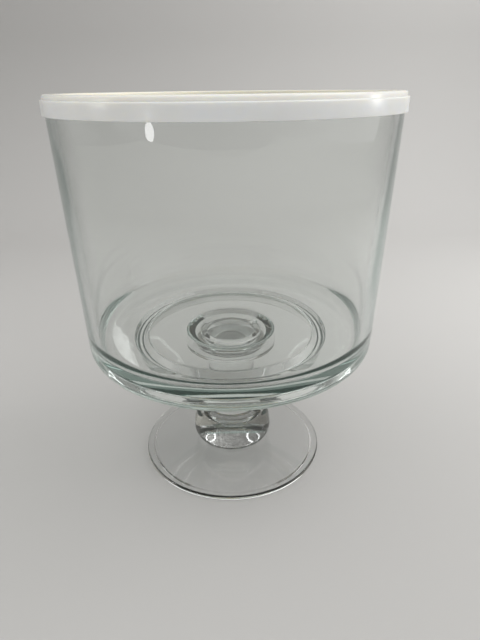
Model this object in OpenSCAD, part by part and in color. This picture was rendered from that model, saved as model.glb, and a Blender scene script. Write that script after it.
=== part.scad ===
// Footed glass trifle bowl with a twist-off pedestal and a plastic lid.
// Millimetres. +Z is up, and the origin is the centre of the foot's underside.

/* [Bowl] */
// Height of the bowl's lip above the table, with the pedestal on
lip_z = 241; // [210:0.1:280]
// Outer radius of the bowl's wall just under the lip
mouth_r = 98.8; // [85:0.1:115]
// How much the wall leans out for each millimetre of height
wall_lean = 0.034; // [0:0.001:0.08]
// Thickness of the wall at the lip
lip_t = 4.2; // [3:0.1:6]
// Thickness of the wall just above the floor
wall_foot_t = 5.4; // [4:0.1:8]
// Thickness of the heavy floor
floor_t = 15; // [12:0.1:22]
// Radius of the fillet between the floor and the wall, inside
floor_fillet_r = 10; // [4:0.5:16]
// Radius of the rounded edge under the wall, outside
heel_r = 12; // [6:0.5:18]

/* [Bowl underside] */
// Outer radius of the ring that the bowl stands on without its pedestal, at its root
ring_r = 65.6; // [56:0.1:72]
// Width of that ring at its root, from which both sides taper down
ring_w = 8.6; // [6:0.1:12]
// How far the ring's lower edge is set in from its outer root
ring_set_in = 3.1; // [2:0.1:4]
// Radius of the ring's round lower edge
ring_edge_r = 1.1; // [0.8:0.1:1.6]
// How far the ring stands below the bowl's underside
ring_h = 9.4; // [8.6:0.1:11]
// Outer radius of the boss round the socket, at its lower end
boss_r = 25.2; // [24:0.1:28]
// How much wider the boss is where it meets the underside
boss_draft = 4.3; // [0:0.1:6]
// How far the boss ends above the standing ring, so that the bowl stands level
boss_lift = 0.6; // [0.3:0.1:1]

/* [Twist lock] */
// Radius of the stud on the pedestal
stud_r = 16.5; // [14:0.5:17.5]
// How far the two lugs stand out of the stud
lug_w = 4.1; // [2.5:0.1:4.5]
// Height of each lug
lug_h = 2.2; // [1.6:0.1:2.6]
// Angle that each lug covers
lug_angle = 50; // [30:1:60]
// Height of the ledge that the lugs turn over
ledge_h = 1.9; // [1.5:0.1:2.3]
// Depth of the socket, from the end of the boss
socket_depth = 5.7; // [5.4:0.1:7]

/* [Pedestal] */
// Height of the collar's top face, which carries the bowl
collar_z = 77.5; // [70:0.1:95]
// Radius of the collar
collar_r = 31; // [28:0.5:38]
// Thickness of the collar at its edge
collar_t = 2.6; // [1.5:0.1:4]
// Radius of the neck between the collar and the knop
neck_r = 17; // [13:0.1:18.5]
// Radius of the hollow curve from the neck out to the collar
flare_r = 9; // [4:0.5:10]
// Radius of the knop, at its widest
knop_r = 28.2; // [27:0.1:32]
// Height of the knop's widest ring
knop_z = 17; // [14:0.5:17]
// Height of the knop's flat top
knop_top_z = 34.4; // [31:0.1:38]
// Radius of the curve of the knop's side, above its widest ring
knop_side_r = 36; // [30:1:60]
// Radius of the knop's round top edge
knop_edge_r = 4; // [2:0.5:5]
// Radius of the round from the knop's widest ring in to the foot
knop_tuck_r = 10; // [10:0.5:14]
// Radius of the foot
foot_r = 64.4; // [50:0.1:80]
// Thickness of the foot at its rim
foot_rim_t = 4; // [3:0.1:6]
// Height of the foot's top where it meets the knop
foot_crown_z = 7.2; // [7:0.1:10]
// Depth of the shallow hollow under the foot
foot_hollow = 1.4; // [0.8:0.1:2]
// Radius of the deeper hollow under the knop, at its flat top
punt_r = 17; // [10:0.5:19]
// Height of that flat top above the table
punt_z = 6; // [4:0.1:6.2]

/* [Lid] */
// Thickness of the lid's skirt, outside the lip of the glass
skirt_t = 1.05; // [0.8:0.05:2]
// Height of the skirt, up to the step above it
skirt_h = 7.5; // [5:0.1:12]
// How far the step sets the band back from the skirt
step_w = 1.2; // [0.4:0.1:1.3]
// Height of the band above the step, with the round top edge
band_h = 2.6; // [2:0.1:4]
// Height of the lid's top above the lip of the glass
lid_rise = 2.8; // [2:0.1:4]
// Thickness of the lid's plastic
lid_t = 1.5; // [1:0.1:2]
// Depth of the recessed panel below the lid's top edge
panel_drop = 6; // [4.5:0.1:7]

/* [Hidden] */

// Colours
glass_tint = [0.84, 0.91, 0.89, 0.45];
lid_white = [0.94, 0.93, 0.89];

// Clearances and small sizes
turn_gap = 0.6;        // round the stud and the lugs in the socket
lug_gap = 0.4;         // over the ledge and under the lugs
stop_gap = 1;          // degrees between a lug and its stop
stop_angle = 8;        // degrees that a stop covers
entry_extra = 6;       // degrees that an entry gap is wider than a lug, each side
stud_over = 0.4;       // how far the stud stands above its lugs
stud_edge = 0.4;       // chamfer round the stud's top
lid_gap = 0.25;        // between the lid and the glass, all round
over = 1;              // overrun of the cuts
neck_fillet_r = 2;     // hollow curve from the knop's top up to the neck
hollow_edge_w = 5;     // width of the rim outside the hollow, which the foot stands on
hollow_side_w = 0.7;   // how far the hollow's side leans in from that rim
ring_fillet_out_r = 1; // hollow curve outside the standing ring's root
ring_fillet_in_r = 2;  // hollow curve inside the standing ring's root
boss_fillet_r = 4;     // hollow curve round the boss's root
lug_count = 2;
$fn = 96;

// Heights that follow from the sizes above
boss_z = collar_z;
ring_z = boss_z - boss_lift;
under_z = ring_z + ring_h;
floor_z = under_z + floor_t;
lean_len = sqrt(1 + wall_lean * wall_lean);
lip_r = lip_t / 2;
lug_z = collar_z + ledge_h + lug_gap;
stud_top_z = lug_z + lug_h + stud_over;
socket_z = boss_z + socket_depth;
socket_r = stud_r + lug_w + turn_gap;
skirt_r = mouth_r + lid_gap + skirt_t;

// The outer wall's radius at height z
function wall_r(z) = mouth_r - wall_lean * (lip_z - lip_r - z);
// The wall's thickness at height z
function wall_t(z) = lip_t + (wall_foot_t - lip_t) * (lip_z - z) / (lip_z - floor_z);
// The inner wall's radius at height z
function inside_r(z) = wall_r(z) - wall_t(z);

// A flat sector that starts at angle a0 and ends at a1, under 180 degrees apart
module sector(r, a0, a1, h) {
    reach = 2 * r;
    mid = (a0 + a1) / 2;
    intersection() {
        cylinder(r = r, h = h);
        linear_extrude(height = h)
            polygon([[0, 0], reach * [cos(a0), sin(a0)],
                     reach * [cos(mid), sin(mid)], reach * [cos(a1), sin(a1)]]);
    }
}

// A closed outline of the bowl's glass outside, from the axis out
module bowl_outside() {
    heel_z = under_z + heel_r;
    heel_x = wall_r(heel_z) - heel_r * lean_len;
    heel_end = [heel_x + heel_r / lean_len, heel_z - heel_r * wall_lean / lean_len];
    polygon([[0, under_z], [heel_x, under_z], heel_end,
             [wall_r(lip_z - lip_r), lip_z - lip_r], [0, lip_z - lip_r]]);
    translate([heel_x, heel_z]) circle(r = heel_r);
    translate([mouth_r - lip_r, lip_z - lip_r]) circle(r = lip_r);
}

// The outline of the space inside the bowl
module bowl_inside() {
    fillet_z = floor_z + floor_fillet_r;
    fillet_x = inside_r(fillet_z) - floor_fillet_r;
    polygon([[0, floor_z], [fillet_x, floor_z], [fillet_x + floor_fillet_r, fillet_z],
             [inside_r(lip_z - lip_r), lip_z - lip_r], [inside_r(lip_z - lip_r), lip_z + over],
             [0, lip_z + over]]);
    translate([fillet_x, fillet_z]) circle(r = floor_fillet_r);
}

// The point where a line from a root touches a round of radius r round a centre;
// the round lies to the right of the line when side is 1, and to its left when it is -1
function touch(root, centre, r, side) =
    let (reach = norm(centre - root),
         aim = atan2(centre[1] - root[1], centre[0] - root[0]),
         turn = asin(r / reach),
         len = sqrt(reach * reach - r * r))
    root + len * [cos(aim + side * turn), sin(aim + side * turn)];

// Fills the corner at a root, where a tapered side that starts at foot meets the flat
// underside, with a hollow round; out is 1 when the round lies outside the side, else -1
module root_fillet(foot, root, r, out) {
    side = (root - foot) / norm(root - foot);
    reach = r / tan(acos(-out * side[0]) / 2);
    centre = root + [out * reach, -r];
    points = [root - reach * side, centre, root + [out * reach, over], root + [0, over]];
    last = len(points) - 1;
    difference() {
        polygon([for (i = [0 : last]) points[out > 0 ? i : last - i]]);
        translate(centre) circle(r = r);
    }
}

// The outline of the standing ring: two tapered sides and a round lower edge
module standing_ring() {
    edge = [ring_r - ring_set_in, ring_z + ring_edge_r];
    root_out = [ring_r, under_z];
    root_in = [ring_r - ring_w, under_z];
    foot_out = touch(root_out, edge, ring_edge_r, 1);
    foot_in = touch(root_in, edge, ring_edge_r, -1);
    polygon([edge, foot_out, root_out, root_out + [0, over], root_in + [0, over], root_in, foot_in]);
    translate(edge) circle(r = ring_edge_r);
    root_fillet(foot_out, root_out, ring_fillet_out_r, 1);
    root_fillet(foot_in, root_in, ring_fillet_in_r, -1);
}

// The outline of the boss round the socket, wider towards the underside
module boss() {
    foot = [boss_r, boss_z];
    root = [boss_r + boss_draft, under_z];
    polygon([[0, boss_z], foot, root, root + [0, over], [0, under_z + over]]);
    root_fillet(foot, root, boss_fillet_r, 1);
}

// What the socket takes out of the boss: the ledge and its stops stay
module socket_space() {
    half_entry = lug_angle / 2 + entry_extra;
    half_lug = lug_angle / 2;
    ledge_top = boss_z + ledge_h;
    translate([0, 0, ledge_top]) difference() {
        cylinder(r = socket_r, h = socket_z - ledge_top);
        for (i = [0 : lug_count - 1])
            rotate([0, 0, i * 360 / lug_count])
                difference() {
                    sector(socket_r + over, half_lug + stop_gap,
                           half_lug + stop_gap + stop_angle, socket_z - ledge_top);
                    cylinder(r = stud_r + turn_gap, h = socket_z - ledge_top);
                }
    }
    translate([0, 0, boss_z - over]) {
        cylinder(r = stud_r + turn_gap, h = ledge_h + 2 * over);
        for (i = [0 : lug_count - 1])
            rotate([0, 0, (i + 1 / 2) * 360 / lug_count])
                sector(socket_r, -half_entry, half_entry, ledge_h + 2 * over);
    }
}

// The bowl: one pressing of clear glass with a faint green tint. Its heavy floor has a
// standing ring underneath, and a boss whose socket the pedestal's stud twists into.
module bowl() {
    color(glass_tint)
        difference() {
            rotate_extrude() {
                difference() {
                    bowl_outside();
                    bowl_inside();
                }
                standing_ring();
                boss();
            }
            socket_space();
        }
}

// The outline of the foot: a flat disc with a round rim, rising to the knop. It is hollow
// underneath, deeper under the knop.
module foot_outline() {
    edge_r = foot_rim_t / 2;
    tuck_x = knop_r - knop_tuck_r;
    crown_r = tuck_x + sqrt(pow(knop_tuck_r, 2) - pow(knop_z - foot_crown_z, 2));
    hollow_r = foot_r - hollow_edge_w;
    difference() {
        union() {
            polygon([[0, 0], [foot_r - edge_r, 0], [foot_r - edge_r, foot_rim_t],
                     [crown_r, foot_crown_z], [0, foot_crown_z]]);
            translate([foot_r - edge_r, edge_r]) circle(r = edge_r);
        }
        polygon([[0, -over], [hollow_r, -over], [hollow_r, 0],
                 [hollow_r - hollow_side_w, foot_hollow], [punt_r + punt_z - foot_hollow, foot_hollow],
                 [punt_r, punt_z], [0, punt_z]]);
    }
}

// The outline of the knop: a squat drum with round sides and a flat top
module knop_outline() {
    tuck_x = knop_r - knop_tuck_r;
    sink = (foot_crown_z - punt_z) / 2;
    intersection() {
        union() {
            translate([tuck_x, knop_z]) circle(r = knop_tuck_r);
            translate([0, punt_z]) square([tuck_x, knop_z - punt_z]);
        }
        translate([0, foot_crown_z - sink]) square([knop_r + over, knop_z - foot_crown_z + sink]);
    }
    // the side's curve and the round edge of the top touch at one height
    side_x = knop_r - knop_side_r;
    edge_z = knop_top_z - knop_edge_r;
    lean = asin((edge_z - knop_z) / (knop_side_r - knop_edge_r));
    edge_x = side_x + (knop_side_r - knop_edge_r) * cos(lean);
    intersection() {
        translate([side_x, knop_z]) circle(r = knop_side_r);
        translate([0, knop_z]) square([knop_r + over, knop_side_r * sin(lean)]);
    }
    translate([edge_x, edge_z]) circle(r = knop_edge_r);
    translate([0, knop_z]) square([edge_x, knop_top_z - knop_z]);
}

// The outline of the neck and the collar, with a fillet below and a flare between them
module neck_outline() {
    under = collar_z - collar_t;
    translate([0, knop_z]) square([neck_r, collar_z - knop_z]);
    translate([0, under]) square([collar_r, collar_t]);
    difference() {
        translate([0, knop_top_z]) square([neck_r + neck_fillet_r, neck_fillet_r]);
        translate([neck_r + neck_fillet_r, knop_top_z + neck_fillet_r]) circle(r = neck_fillet_r);
    }
    difference() {
        translate([0, under - flare_r]) square([neck_r + flare_r, flare_r]);
        translate([neck_r + flare_r, under - flare_r]) circle(r = flare_r);
    }
}

// The stud with its two lugs, which turn over the socket's ledge
module stud() {
    translate([0, 0, collar_z - over])
        cylinder(r = stud_r, h = stud_top_z - stud_edge - collar_z + over);
    translate([0, 0, stud_top_z - stud_edge])
        cylinder(r1 = stud_r, r2 = stud_r - stud_edge, h = stud_edge);
    for (i = [0 : lug_count - 1])
        rotate([0, 0, i * 360 / lug_count])
            translate([0, 0, lug_z])
                sector(stud_r + lug_w, -lug_angle / 2, lug_angle / 2, lug_h);
}

// The pedestal: one solid pressing of the same glass, with a foot, a knop, a neck,
// a collar that the bowl's boss sits on, and the stud of the twist lock.
module pedestal() {
    color(glass_tint) {
        rotate_extrude() {
            foot_outline();
            knop_outline();
            neck_outline();
        }
        stud();
    }
}

// The outline of the channel in the lid, which follows the lip with a gap all round
module lip_channel(low_z) {
    channel_r = lip_r + lid_gap;
    mid_x = mouth_r - lip_r;
    translate([mid_x - channel_r, low_z]) square([2 * channel_r, lip_z - lip_r - low_z]);
    translate([mid_x, lip_z - lip_r]) circle(r = channel_r);
}

// The lid: one moulding of white plastic. The lip of the glass sits in the channel
// between its skirt and the wall of its recessed panel.
module lid() {
    top_z = lip_z + lid_rise;
    step_z = top_z - band_h;
    skirt_z = step_z - skirt_h;
    panel_z = top_z - panel_drop;
    band_r = skirt_r - step_w;
    edge_r = lid_t / 2;
    plug_r = mouth_r - lip_t - lid_gap;
    color(lid_white)
        rotate_extrude()
            difference() {
                union() {
                    translate([0, skirt_z]) square([skirt_r, skirt_h]);
                    translate([0, skirt_z]) square([band_r, skirt_h + band_h - edge_r]);
                    translate([0, skirt_z]) square([band_r - edge_r, skirt_h + band_h]);
                    translate([band_r - edge_r, top_z - edge_r]) circle(r = edge_r);
                }
                translate([0, panel_z]) square([plug_r - lid_t, panel_drop + over]);
                translate([0, skirt_z - over])
                    square([plug_r + over, panel_z - lid_t - skirt_z + over]);
                lip_channel(skirt_z - over);
            }
}

pedestal();
bowl();
lid();
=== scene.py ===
"""Footed glass trifle bowl with a twist-off pedestal and a white lid, on a pale sweep."""
import math

import bmesh
import bpy
from mathutils import Euler, Matrix, Vector


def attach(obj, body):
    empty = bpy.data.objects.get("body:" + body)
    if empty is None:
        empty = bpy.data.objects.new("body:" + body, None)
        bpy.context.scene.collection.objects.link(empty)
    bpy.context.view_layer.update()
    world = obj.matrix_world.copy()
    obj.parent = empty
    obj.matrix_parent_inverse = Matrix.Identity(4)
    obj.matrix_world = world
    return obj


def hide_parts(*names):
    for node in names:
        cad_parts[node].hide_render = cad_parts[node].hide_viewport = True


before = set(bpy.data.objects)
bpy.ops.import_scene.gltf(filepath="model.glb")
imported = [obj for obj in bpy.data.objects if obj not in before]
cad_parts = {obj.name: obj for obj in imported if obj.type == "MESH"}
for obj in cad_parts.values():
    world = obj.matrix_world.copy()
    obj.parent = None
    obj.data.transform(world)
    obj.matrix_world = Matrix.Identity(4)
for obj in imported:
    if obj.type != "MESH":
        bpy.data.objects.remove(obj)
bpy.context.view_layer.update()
mm = 0.001

# Pedestal.
# One solid pressing of clear soda glass: a foot, a squat knop, a neck and a collar, with a
# stud on top whose two lugs turn over a ledge inside the bowl's socket.
foot_r, foot_rim, foot_crown = 64.4, 4.0, 7.2
foot_hollow, foot_track, hollow_side = 1.4, 5.0, 0.7
punt_r, punt_z, punt_slope = 17.0, 6.0, 4.6
knop_r, knop_z, knop_top, knop_bulge, knop_round, knop_tuck = 28.2, 17.0, 34.4, 36.0, 4.0, 10.0
neck_r, neck_fillet, flare = 17.0, 2.0, 9.0
collar_r, collar_z, collar_t = 31.0, 77.5, 2.6
collar_gap = 0.1  # keeps the collar's top off the boss that it carries
stud_r, stud_edge, stud_top = 16.5, 0.4, 82.4
lug_out, lug_low, lug_high, lug_angle = 20.6, 79.8, 82.0, 50.0
lug_root = 2.0    # how far a lug reaches into the stud


def arc(centre_r, centre_z, radius, start, end, step=6.0):
    """Points on an arc of the outline, from one angle in degrees to another."""
    count = max(2, round(abs(end - start) / step))
    angles = [math.radians(start + (end - start) * i / count) for i in range(count + 1)]
    return [(centre_r + radius * math.cos(a), centre_z + radius * math.sin(a)) for a in angles]


def rounded(corners, step=9.0):
    """Outline through corners (r, z, radius), each one rounded with its own radius."""
    points = []
    for i, (r, z, radius) in enumerate(corners):
        here = Vector((r, z))
        if not radius:
            points.append((r, z))
            continue
        before = (Vector(corners[i - 1][:2]) - here).normalized()
        after = (Vector(corners[(i + 1) % len(corners)][:2]) - here).normalized()
        half = before.angle(after) / 2
        centre = here + (before + after).normalized() * radius / math.sin(half)
        reach = radius / math.tan(half)
        first, last = here + before * reach - centre, here + after * reach - centre
        turn = first.angle_signed(last)
        count = max(2, round(abs(math.degrees(turn)) / step))
        for j in range(count + 1):
            a = -turn * j / count
            spun = Matrix.Rotation(a, 2) @ first
            points.append(tuple(centre + spun))
    return points


def placed(name, shape):
    """The finished shape as an object in the scene."""
    mesh = bpy.data.meshes.new(name)
    shape.to_mesh(mesh)
    shape.free()
    piece = bpy.data.objects.new(name, mesh)
    bpy.context.collection.objects.link(piece)
    return piece


def turned(name, outline, around=192):
    """A glass or plastic piece turned about the Z axis from its outline in millimetres."""
    nearest = 1e-4  # points closer than this are one point
    shape = bmesh.new()
    clean = [p for i, p in enumerate(outline) if math.dist(p, outline[i - 1]) > nearest]
    spots = [2 * math.pi * i / around for i in range(around)]
    rings = []
    for r, z in clean:
        if r < nearest:
            rings.append([shape.verts.new((0, 0, z * mm))])
            continue
        ring = [(r * mm * math.cos(a), r * mm * math.sin(a), z * mm) for a in spots]
        rings.append([shape.verts.new(point) for point in ring])
    for low, high in zip(rings, rings[1:]):
        for i in range(around):
            j = (i + 1) % around
            loop = [low[i % len(low)], low[j % len(low)], high[j % len(high)], high[i % len(high)]]
            loop = [v for k, v in enumerate(loop) if v is not loop[k - 1]]
            if len(loop) > 2:
                shape.faces.new(loop)
    bmesh.ops.recalc_face_normals(shape, faces=shape.faces)
    return placed(name, shape)


def sector(name, inner, outer, low, high, start, end, step=2.0):
    """A block of a ring between two angles, such as a lug or the gap that it passes."""
    count = max(2, round((end - start) / step))
    angles = [math.radians(start + (end - start) * i / count) for i in range(count + 1)]
    flat = [(outer * math.cos(a), outer * math.sin(a)) for a in angles]
    flat += [(inner * math.cos(a), inner * math.sin(a)) for a in reversed(angles)]
    shape = bmesh.new()
    base = [shape.verts.new((x * mm, y * mm, low * mm)) for x, y in flat]
    top = [shape.verts.new((x * mm, y * mm, high * mm)) for x, y in flat]
    shape.faces.new(base)
    shape.faces.new(top)
    for i in range(len(flat)):
        shape.faces.new((base[i - 1], base[i], top[i], top[i - 1]))
    bmesh.ops.recalc_face_normals(shape, faces=shape.faces)
    return placed(name, shape)


def carve(piece, block, how):
    """Joins a block to a piece or cuts it away, then drops the block."""
    cut = piece.modifiers.new(how.lower(), "BOOLEAN")
    cut.operation, cut.solver, cut.object = how, "EXACT", block
    result = piece.evaluated_get(bpy.context.evaluated_depsgraph_get())
    done = bpy.data.meshes.new_from_object(result)
    piece.modifiers.clear()
    piece.data = done
    bpy.data.objects.remove(block)


def smooth(piece, corner=28.0):
    """Shades a piece smooth, with true corners left crisp."""
    shape = bmesh.new()
    shape.from_mesh(piece.data)
    bmesh.ops.remove_doubles(shape, verts=shape.verts, dist=1e-6)
    for face in shape.faces:
        face.smooth = True
    for edge in shape.edges:
        bend = math.degrees(edge.calc_face_angle(0))
        edge.smooth = len(edge.link_faces) == 2 and bend < corner
    shape.to_mesh(piece.data)
    shape.free()


def pressed_glass(name, ripple, tint, green, shade):
    """Clear glass with a faint green body, the slow ripple of a pressing, a little dust and a
    painted shade on light that is trapped in it.
    """
    glass = bpy.data.materials.new(name)
    glass.use_nodes = True
    nodes, links = glass.node_tree.nodes, glass.node_tree.links
    shader = nodes["Principled BSDF"]
    shader.inputs["Base Color"].default_value = tint
    shader.inputs["Transmission Weight"].default_value = 1
    shader.inputs["IOR"].default_value = 1.52
    place = nodes.new("ShaderNodeTexCoord")
    stretch = nodes.new("ShaderNodeMapping")
    stretch.inputs["Scale"].default_value = (1, 1, 0.35)
    wave = nodes.new("ShaderNodeTexNoise")
    wave.inputs["Scale"].default_value = 26
    wave.inputs["Detail"].default_value = 1
    bump = nodes.new("ShaderNodeBump")
    bump.inputs["Strength"].default_value = ripple
    bump.inputs["Distance"].default_value = 0.001
    links.new(place.outputs["Object"], stretch.inputs["Vector"])
    links.new(stretch.outputs["Vector"], wave.inputs["Vector"])
    links.new(wave.outputs["Fac"], bump.inputs["Height"])
    links.new(bump.outputs["Normal"], shader.inputs["Normal"])
    dust = nodes.new("ShaderNodeTexNoise")
    dust.inputs["Scale"].default_value = 60
    dust.inputs["Detail"].default_value = 6
    level = nodes.new("ShaderNodeMapRange")
    level.inputs["From Min"].default_value = 0.52
    level.inputs["From Max"].default_value = 0.85
    level.inputs["To Max"].default_value = 0.05
    links.new(place.outputs["Object"], dust.inputs["Vector"])
    links.new(dust.outputs["Fac"], level.inputs["Value"])
    links.new(level.outputs["Result"], shader.inputs["Roughness"])
    body = nodes.new("ShaderNodeVolumeAbsorption")
    body.inputs["Color"].default_value = (0.72, 0.84, 0.80, 1)
    body.inputs["Density"].default_value = green
    links.new(body.outputs["Volume"], nodes["Material Output"].inputs["Volume"])
    # lamplight reaches the cloth through the glass, and light that is trapped in a thick part
    #     leaves it straight at its third bounce, tinted with a painted shade for the dark lines
    #     that trapped light makes
    third_bounce = 2.5
    ray = nodes.new("ShaderNodeLightPath")
    late = nodes.new("ShaderNodeMath")
    late.operation = "GREATER_THAN"
    late.inputs[1].default_value = third_bounce
    trapped_painted_shade = nodes.new("ShaderNodeBsdfTransparent")
    trapped_painted_shade.inputs["Color"].default_value = shade
    leaves = nodes.new("ShaderNodeMixShader")
    clear = nodes.new("ShaderNodeBsdfTransparent")
    clear.inputs["Color"].default_value = (0.993, 0.995, 0.993, 1)
    passes = nodes.new("ShaderNodeMixShader")
    links.new(ray.outputs["Glossy Depth"], late.inputs[0])
    links.new(late.outputs["Value"], leaves.inputs["Fac"])
    links.new(shader.outputs["BSDF"], leaves.inputs[1])
    links.new(trapped_painted_shade.outputs["BSDF"], leaves.inputs[2])
    links.new(ray.outputs["Is Shadow Ray"], passes.inputs["Fac"])
    links.new(leaves.outputs["Shader"], passes.inputs[1])
    links.new(clear.outputs["BSDF"], passes.inputs[2])
    links.new(passes.outputs["Shader"], nodes["Material Output"].inputs["Surface"])
    return glass


def mould_grain_and_painted_shade(glass):
    """The grain that the mould leaves on the hollow under the knop, seen through it, and a painted
    shade that darkens the knop there.
    """
    nodes, links = glass.node_tree.nodes, glass.node_tree.links
    # the grain and the painted shade fade out down the hollow's slope
    grain_height = 0.025
    place = nodes["Texture Coordinate"]
    off_axis = nodes.new("ShaderNodeVectorMath")
    off_axis.operation = "DISTANCE"
    off_axis.inputs[1].default_value = (0, 0, 0)
    inside = nodes.new("ShaderNodeMapRange")
    inside.inputs["From Min"].default_value = (punt_r + punt_slope) * mm
    inside.inputs["From Max"].default_value = punt_r * mm
    speck = nodes.new("ShaderNodeTexNoise")
    speck.inputs["Scale"].default_value = 700
    speck.inputs["Detail"].default_value = 3
    grain = nodes.new("ShaderNodeBump")
    grain.inputs["Distance"].default_value = 0.001
    depth = nodes.new("ShaderNodeMath")
    depth.operation = "MULTIPLY"
    depth.inputs[1].default_value = grain_height
    # painted shade: a nearly black diffuse skin takes the place of a third to two thirds of the
    # clear glass here, most at the specks, and darkens the knop
    painted_shade_veil = nodes.new("ShaderNodeBsdfDiffuse")
    painted_shade_veil.inputs["Color"].default_value = (0.09, 0.085, 0.08, 1)
    shade_by_speck = nodes.new("ShaderNodeMapRange")
    shade_by_speck.inputs["From Min"].default_value = 0.4
    shade_by_speck.inputs["From Max"].default_value = 0.6
    shade_by_speck.inputs["To Min"].default_value = 0.35
    shade_by_speck.inputs["To Max"].default_value = 0.62
    share = nodes.new("ShaderNodeMath")
    share.operation = "MULTIPLY"
    shaded_hollow = nodes.new("ShaderNodeMixShader")
    passes = nodes["Material Output"].inputs["Surface"].links[0].from_node
    polished = passes.inputs[1].links[0].from_socket
    links.new(place.outputs["Object"], off_axis.inputs[0])
    links.new(off_axis.outputs["Value"], inside.inputs["Value"])
    links.new(speck.outputs["Fac"], shade_by_speck.inputs["Value"])
    links.new(inside.outputs["Result"], share.inputs[0])
    links.new(shade_by_speck.outputs["Result"], share.inputs[1])
    links.new(share.outputs["Value"], shaded_hollow.inputs["Fac"])
    links.new(polished, shaded_hollow.inputs[1])
    links.new(painted_shade_veil.outputs["BSDF"], shaded_hollow.inputs[2])
    links.new(shaded_hollow.outputs["Shader"], passes.inputs[1])
    links.new(inside.outputs["Result"], depth.inputs[0])
    links.new(depth.outputs["Value"], grain.inputs["Strength"])
    links.new(place.outputs["Object"], speck.inputs["Vector"])
    links.new(speck.outputs["Fac"], grain.inputs["Height"])
    links.new(nodes["Bump"].outputs["Normal"], grain.inputs["Normal"])
    links.new(grain.outputs["Normal"], nodes["Principled BSDF"].inputs["Normal"])
    return glass


tuck_r = knop_r - knop_tuck
tuck_dip = math.degrees(math.asin((knop_z - foot_crown) / knop_tuck))
bulge_r = knop_r - knop_bulge
round_z = knop_top - knop_round
round_up = math.asin((round_z - knop_z) / (knop_bulge - knop_round))
round_r = bulge_r + (knop_bulge - knop_round) * math.cos(round_up)
round_up = math.degrees(round_up)
collar_under = collar_z - collar_t
pedestal_outline = (
    [(0, punt_z), (punt_r, punt_z), (punt_r + punt_slope, foot_hollow)]
    + [(foot_r - foot_track - hollow_side, foot_hollow), (foot_r - foot_track, 0)]
    + arc(foot_r - foot_rim / 2, foot_rim / 2, foot_rim / 2, -90, 90)
    + arc(tuck_r, knop_z, knop_tuck, -tuck_dip, 0)
    + arc(bulge_r, knop_z, knop_bulge, 0, round_up, 2)[1:]
    + arc(round_r, round_z, knop_round, round_up, 90)[1:]
    + arc(neck_r + neck_fillet, knop_top + neck_fillet, neck_fillet, 270, 180)
    + arc(neck_r + flare, collar_under - flare, flare, 180, 90)
    + [(collar_r, collar_under), (collar_r, collar_z - collar_gap), (stud_r, collar_z - collar_gap)]
    + [(stud_r, stud_top - stud_edge), (stud_r - stud_edge, stud_top), (0, stud_top)]
)
pedestal = turned("pedestal_glass", pedestal_outline)
for middle in (0, 180):
    start = middle - lug_angle / 2
    end = start + lug_angle
    lug = sector("lug", stud_r - lug_root, lug_out, lug_low, lug_high, start, end)
    carve(pedestal, lug, "UNION")
smooth(pedestal)
pedestal.data.materials.clear()
# the last colour is the painted shade that trapped light takes on as it leaves the glass
pedestal_glass = pressed_glass("pedestal glass", 0.1, (1, 1, 1, 1), 4, (0.40, 0.39, 0.36, 1))
# the hollow under the knop gets the mould's grain and a painted shade
pedestal.data.materials.append(mould_grain_and_painted_shade(pedestal_glass))
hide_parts("pedestal")
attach(pedestal, "pedestal")

# Bowl.
# One pressing of the same glass: a tall wall that leans out a little, a heavy floor, a ring to
# stand on without the pedestal, and a boss with the socket that the stud twists into.
lip_z, lip_t, mouth_r, lean = 241.0, 4.2, 98.8, 0.034
wall_foot, floor_t, floor_fillet, heel = 5.4, 15.0, 10.0, 12.0
ring_z, ring_h = 76.9, 9.4
ring_out, ring_foot_out, ring_foot_in, ring_in = 65.6, 63.6, 61.4, 57.0
ring_fillet_out, ring_edge_out, ring_edge_in, ring_fillet_in = 1.0, 1.2, 1.0, 2.0
boss_root, boss_fillet, boss_r, boss_edge, boss_z = 29.5, 4.0, 25.2, 0.8, 77.5
socket_r, socket_top, ledge_r, ledge_top = 21.2, 83.2, 17.1, 79.4
entry_half, stop_from, stop_to = 31.0, 26.0, 34.0
overrun = 1.0     # how far a block reaches past the glass that it cuts or joins
under_z = ring_z + ring_h
floor_z = under_z + floor_t


def wall_r(z):
    """Outer radius of the wall at a height."""
    return mouth_r - lean * (lip_z - lip_t / 2 - z)


def inside_r(z):
    """Inner radius of the wall at a height."""
    return wall_r(z) - lip_t - (wall_foot - lip_t) * (lip_z - z) / (lip_z - floor_z)


lip_c = lip_z - lip_t / 2
bowl_inside = rounded([
    (0, floor_z, 0),
    (inside_r(floor_z), floor_z, floor_fillet),
    (inside_r(lip_c), lip_c, 0),
])
bowl_outside = rounded([
    (mouth_r, lip_c, 0),
    (wall_r(under_z), under_z, heel),
    (ring_out, under_z, ring_fillet_out),
    (ring_foot_out, ring_z, ring_edge_out),
    (ring_foot_in, ring_z, ring_edge_in),
    (ring_in, under_z, ring_fillet_in),
    (boss_root, under_z, boss_fillet),
    (boss_r, boss_z, boss_edge),
    (ledge_r, boss_z, 0),
])
bowl_outline = (
    bowl_inside
    + arc(mouth_r - lip_t / 2, lip_c, lip_t / 2, 180, 0, 10)
    + bowl_outside[1:]
    + [(ledge_r, ledge_top), (socket_r, ledge_top), (socket_r, socket_top), (0, socket_top)]
)
bowl = turned("bowl_glass", bowl_outline)
for middle in (90, 270):
    start, end = middle - entry_half, middle + entry_half
    low, high = boss_z - overrun, ledge_top + overrun
    carve(bowl, sector("entry", ledge_r - overrun, socket_r, low, high, start, end), "DIFFERENCE")
for turn in (0, 180):
    start, end = turn + stop_from, turn + stop_to
    low, high = ledge_top - overrun, socket_top + overrun
    carve(bowl, sector("stop", ledge_r, socket_r + overrun, low, high, start, end), "UNION")
smooth(bowl)
bowl.data.materials.clear()
# the last colour is the painted shade that trapped light takes on as it leaves the glass
bowl_glass = pressed_glass("bowl glass", 0.3, (0.92, 0.93, 0.922, 1), 6, (0.42, 0.49, 0.47, 1))
bowl.data.materials.append(bowl_glass)
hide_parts("bowl")
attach(bowl, "bowl")

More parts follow.
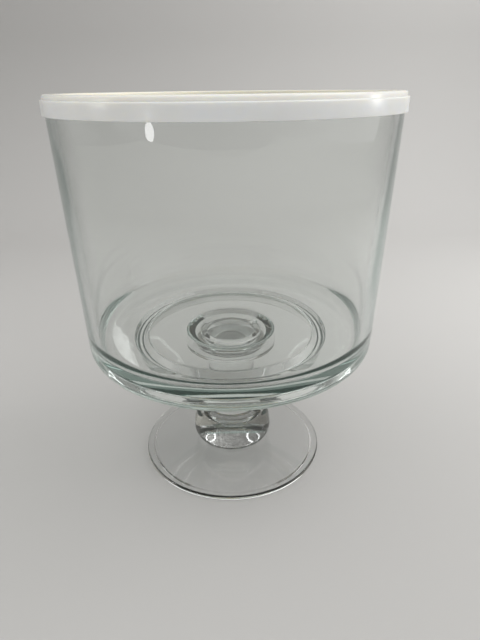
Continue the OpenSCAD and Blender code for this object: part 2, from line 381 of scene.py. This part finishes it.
# Lid.
# One injection moulding of white polyethylene. Its channel presses onto the lip of the glass,
# and its panel is set below the rim so that another bowl can stand on it.
skirt_r, skirt_h, step_w, band_h, lid_rise = 100.1, 7.5, 1.2, 2.6, 2.8
lid_t, panel_drop, lid_gap = 1.5, 6.0, 0.25
plug_edge, rim_edge, panel_fillet = 1.0, 0.8, 0.8
skirt_edge_in, skirt_edge_out, skirt_top_edge, step_fillet, band_edge = 0.3, 0.4, 0.5, 0.2, 1.3
lid_top = lip_z + lid_rise
step_z = lid_top - band_h
skirt_z = step_z - skirt_h
band_r = skirt_r - step_w
panel_z = lid_top - panel_drop
plug_r = mouth_r - lip_t - lid_gap
channel_r = lip_t / 2 + lid_gap
lid_under = rounded([
    (0, panel_z - lid_t, 0),
    (plug_r, panel_z - lid_t, plug_edge),
    (plug_r, lip_c, 0),
])
lid_over = rounded([
    (mouth_r + lid_gap, lip_c, 0),
    (mouth_r + lid_gap, skirt_z, skirt_edge_in),
    (skirt_r, skirt_z, skirt_edge_out),
    (skirt_r, step_z, skirt_top_edge),
    (band_r, step_z, step_fillet),
    (band_r, lid_top, band_edge),
    (plug_r - lid_t, lid_top, rim_edge),
    (plug_r - lid_t, panel_z, panel_fillet),
    (0, panel_z, 0),
])
channel = arc(mouth_r - lip_t / 2, lip_c, channel_r, 180, 0, 10)
lid_outline = lid_under + channel[1:] + lid_over[1:]
lid = turned("lid_plastic", lid_outline, 256)
smooth(lid, 34)


def milk_plastic():
    """White polyethylene: soft gloss, a little light let through, faint flow lines and scuffs."""
    plastic = bpy.data.materials.new("lid plastic")
    plastic.use_nodes = True
    nodes, links = plastic.node_tree.nodes, plastic.node_tree.links
    shader = nodes["Principled BSDF"]
    shader.inputs["Subsurface Weight"].default_value = 0.6
    shader.inputs["Subsurface Radius"].default_value = (1.0, 0.85, 0.6)
    shader.inputs["Subsurface Scale"].default_value = 0.004
    shader.inputs["IOR"].default_value = 1.5
    place = nodes.new("ShaderNodeTexCoord")
    cloud = nodes.new("ShaderNodeTexNoise")
    cloud.inputs["Scale"].default_value = 18
    cloud.inputs["Detail"].default_value = 4
    tone = nodes.new("ShaderNodeValToRGB")
    tone.color_ramp.elements[0].position = 0.35
    tone.color_ramp.elements[0].color = (0.83, 0.81, 0.76, 1)
    tone.color_ramp.elements[1].position = 0.65
    tone.color_ramp.elements[1].color = (0.88, 0.87, 0.83, 1)
    scuff = nodes.new("ShaderNodeTexNoise")
    scuff.inputs["Scale"].default_value = 240
    scuff.inputs["Detail"].default_value = 5
    gloss = nodes.new("ShaderNodeMapRange")
    gloss.inputs["To Min"].default_value = 0.14
    gloss.inputs["To Max"].default_value = 0.3
    grain = nodes.new("ShaderNodeBump")
    grain.inputs["Strength"].default_value = 0.05
    grain.inputs["Distance"].default_value = 0.0004
    links.new(place.outputs["Object"], cloud.inputs["Vector"])
    links.new(place.outputs["Object"], scuff.inputs["Vector"])
    links.new(cloud.outputs["Fac"], tone.inputs["Fac"])
    # the panel inside the rim is creamier than the skirt, and painted darker as shade that offsets
    # the stronger light falling on its top
    across = nodes.new("ShaderNodeVectorMath")
    across.operation = "MULTIPLY"
    across.inputs[1].default_value = (1, 1, 0)
    out_from_axis = nodes.new("ShaderNodeVectorMath")
    out_from_axis.operation = "LENGTH"
    rim = nodes.new("ShaderNodeMapRange")
    rim.inputs["From Min"].default_value = plug_r * mm
    rim.inputs["From Max"].default_value = band_r * mm
    cream_and_painted_shade = nodes.new("ShaderNodeMix")
    cream_and_painted_shade.data_type = "RGBA"
    cream_and_painted_shade.inputs["A"].default_value = (0.75, 0.73, 0.65, 1)
    links.new(place.outputs["Object"], across.inputs[0])
    links.new(across.outputs["Vector"], out_from_axis.inputs[0])
    links.new(out_from_axis.outputs["Value"], rim.inputs["Value"])
    links.new(rim.outputs["Result"], cream_and_painted_shade.inputs["Factor"])
    links.new(tone.outputs["Color"], cream_and_painted_shade.inputs["B"])
    links.new(cream_and_painted_shade.outputs["Result"], shader.inputs["Base Color"])
    links.new(scuff.outputs["Fac"], gloss.inputs["Value"])
    links.new(gloss.outputs["Result"], shader.inputs["Roughness"])
    links.new(scuff.outputs["Fac"], grain.inputs["Height"])
    links.new(grain.outputs["Normal"], shader.inputs["Normal"])
    return plastic


lid.data.materials.append(milk_plastic())
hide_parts("lid")
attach(lid, "lid")

# Sweep.
# A pale cloth-coloured sweep that runs from under the foot up into a back wall. It lies a
# little under the foot, so that the glass and the cloth don't share a face.
sweep_colour = (0.478, 0.471, 0.46, 1)
sweep_half, sweep_front, sweep_back, sweep_high = 3.0, -3.0, 0.9, 1.8
sweep_bend, bend_steps = 0.35, 24
sweep_z = -0.0003


def sweep_path():
    """Side view of the sweep, from front to top."""
    path = [(sweep_front, sweep_z)]
    centre_y, centre_z = sweep_back - sweep_bend, sweep_z + sweep_bend
    for i in range(bend_steps + 1):
        a = math.radians(-90 + 90 * i / bend_steps)
        path.append((centre_y + sweep_bend * math.cos(a), centre_z + sweep_bend * math.sin(a)))
    return path + [(sweep_back, sweep_high)]


shape = bmesh.new()
rows = [[shape.verts.new((x, y, z)) for x in (-sweep_half, sweep_half)] for y, z in sweep_path()]
for low, high in zip(rows, rows[1:]):
    shape.faces.new((low[0], low[1], high[1], high[0])).smooth = True
sweep = placed("sweep", shape)
cloth = bpy.data.materials.new("pale cloth")
cloth.use_nodes = True
weave = cloth.node_tree.nodes["Principled BSDF"]
weave.inputs["Base Color"].default_value = sweep_colour
weave.inputs["Roughness"].default_value = 0.9
sweep.data.materials.append(cloth)

# Light.
# A soft sky that is brightest above, behind and to the right, soft lamps round the bowl, three
# small windows that shine in the lid and the wall, and two ring lights that show in the knop.
skirt_level = 0.235
sky_low, sky_high = -0.38, 1.62
cloth_level = 0.5


def soft_lamp(name, place, aim, size, power):
    """A soft box that looks at a point and isn't mirrored in the glass."""
    data = bpy.data.lights.new(name, "AREA")
    data.shape, data.size, data.energy = "DISK", size, power
    lamp = bpy.data.objects.new(name, data)
    lamp.location = place
    lamp.rotation_euler = (Vector(aim) - Vector(place)).to_track_quat("-Z", "Y").to_euler()
    lamp.visible_glossy = lamp.visible_transmission = False
    bpy.context.collection.objects.link(lamp)
    return lamp


def window_lamp(name, place, wide, high, power):
    """A small upright window that shines in the lid's skirt and the glass."""
    lamp = soft_lamp(name, place, (0, 0, skirt_level), wide, power)
    lamp.data.shape, lamp.data.size_y = "ELLIPSE", high
    lamp.visible_glossy = True
    return lamp


def ring_lamp(name, place, aim, size, power):
    """A lamp whose tube is bent into a ring. It shows through glass and lights nothing else."""
    lamp = soft_lamp(name, place, aim, size, power)
    lamp.visible_camera = lamp.visible_diffuse = False
    lamp.visible_transmission = True
    lamp.data.use_nodes = True
    nodes, links = lamp.data.node_tree.nodes, lamp.data.node_tree.links
    where = nodes.new("ShaderNodeNewGeometry")
    centred = nodes.new("ShaderNodeVectorMath")
    centred.operation = "DISTANCE"
    centred.inputs[1].default_value = (0.5, 0.5, 0)
    tube_from = 0.40
    tube = nodes.new("ShaderNodeMath")
    tube.operation = "GREATER_THAN"
    tube.inputs[1].default_value = tube_from
    links.new(where.outputs["Parametric"], centred.inputs[0])
    links.new(centred.outputs["Value"], tube.inputs[0])
    links.new(tube.outputs["Value"], nodes["Emission"].inputs["Strength"])
    return lamp


soft_lamp("key lamp", (0.62, 0.12, 0.42), (0, 0, 0.1), 0.35, 1.7)
soft_lamp("fill lamp", (-0.7, 0.0, 0.35), (0, 0, 0.15), 0.35, 0.5)
soft_lamp("front lamp", (-0.25, -0.75, 0.5), (0, 0, 0.2), 0.4, 0.9)
soft_lamp("wall lamp", (0.65, 0.3, 0.85), (0.3, 0.9, 0.65), 0.4, 4.8)
window_lamp("window right", (0.85, 0.05, 0.262), 0.12, 0.06, 0.2)
window_lamp("window left", (-0.76, -0.27, 0.262), 0.12, 0.05, 0.14)
window_lamp("window front", (-0.37, -0.45, 0.212), 0.05, 0.03, 0.035)
ring_lamp("ring light left", (-0.25, 0.433, 0.44), (0, 0, 0.03), 0.20, 0.24)
ring_lamp("ring light right", (0.25, 0.433, 0.44), (0, 0, 0.03), 0.16, 0.17)
world = bpy.data.worlds.new("soft sky")
bpy.context.scene.world = world
world.use_nodes = True
nodes, links = world.node_tree.nodes, world.node_tree.links
sky = nodes["Background"]
sky.inputs["Color"].default_value = (1, 0.997, 0.985, 1)
heading = nodes.new("ShaderNodeTexCoord")
toward = nodes.new("ShaderNodeVectorMath")
toward.operation = "DOT_PRODUCT"
toward.inputs[1].default_value = (0.32, 0.45, 0.7)
glow = nodes.new("ShaderNodeMapRange")
glow.inputs["From Min"].default_value = -1
glow.inputs["To Min"].default_value = sky_low
glow.inputs["To Max"].default_value = sky_high
links.new(heading.outputs["Generated"], toward.inputs[0])
links.new(toward.outputs["Value"], glow.inputs["Value"])
# past the edge of the cloth the camera sees the cloth's own tone
seen = nodes.new("ShaderNodeLightPath")
level = nodes.new("ShaderNodeMix")
level.inputs["B"].default_value = cloth_level
links.new(seen.outputs["Is Camera Ray"], level.inputs["Factor"])
links.new(glow.outputs["Result"], level.inputs["A"])
links.new(level.outputs["Result"], sky.inputs["Strength"])

# Camera.
# At the photograph's place: close, a little above the lid, tilted down at the foot.
camera_side, camera_back, camera_high = 6.6, 311.3, 246.3
camera_tilt, camera_roll, camera_focal = 25.0, -0.64, 28.125
eye = bpy.data.objects.new("camera", bpy.data.cameras.new("camera"))
eye.data.lens = camera_focal
eye.data.clip_start = 0.01
eye.location = (camera_side * mm, -camera_back * mm, camera_high * mm)
tilt = Euler((math.radians(90 - camera_tilt), 0, 0)).to_matrix()
roll = Matrix.Rotation(math.radians(camera_roll), 3, "Z")
eye.rotation_euler = (tilt @ roll).to_euler()
bpy.context.collection.objects.link(eye)
bpy.context.scene.camera = eye
bpy.context.scene.view_settings.view_transform = "Standard"
